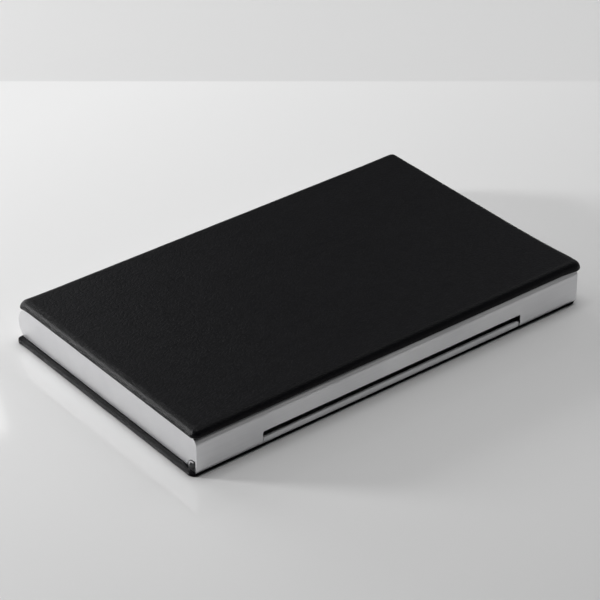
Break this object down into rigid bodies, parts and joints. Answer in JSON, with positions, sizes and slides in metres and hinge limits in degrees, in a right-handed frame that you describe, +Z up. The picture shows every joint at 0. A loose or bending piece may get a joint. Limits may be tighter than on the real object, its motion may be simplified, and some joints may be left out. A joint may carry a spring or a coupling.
{
  "type": "business card case",
  "caption": "Slim hinged case for business cards: folded steel tray and lid on a wire hinge pin, faced with leather-wrapped boards.",
  "frame": {"origin": "middle of the closed case's footprint, on the surface it lies on", "axes": "+X along the hinge, -Y towards the hinge side, +Y towards the opening side, +Z up"},
  "size_m": [0.096, 0.0588, 0.0103],
  "materials": {
    "leather": "thin black PU leather with a fine nappa grain, semi-matt",
    "board": "grey board",
    "tape": "double-sided tape",
    "steel": "satin stainless steel sheet",
    "pin_steel": "drawn steel wire",
    "magnet": "nickel plating",
    "glue": "cured epoxy"
  },
  "bodies": {
    "tray": {"base_leather": "leather", "base_board": "board", "base_tape": "tape", "base_shell": "steel", "hinge_pin": "pin_steel", "magnet_left": "magnet", "magnet_right": "magnet", "magnet_glue": "glue"},
    "lid": {"lid_shell": "steel", "lid_tape": "tape", "lid_board": "board", "lid_leather": "leather"}
  },
  "joints": [
    {"name": "lid_hinge", "type": "hinge", "parent": "tray", "child": "lid", "pos_m": [0, -0.02852, 0.0012], "axis": [1, 0, 0], "range_deg": [0, 90]}
  ]
}
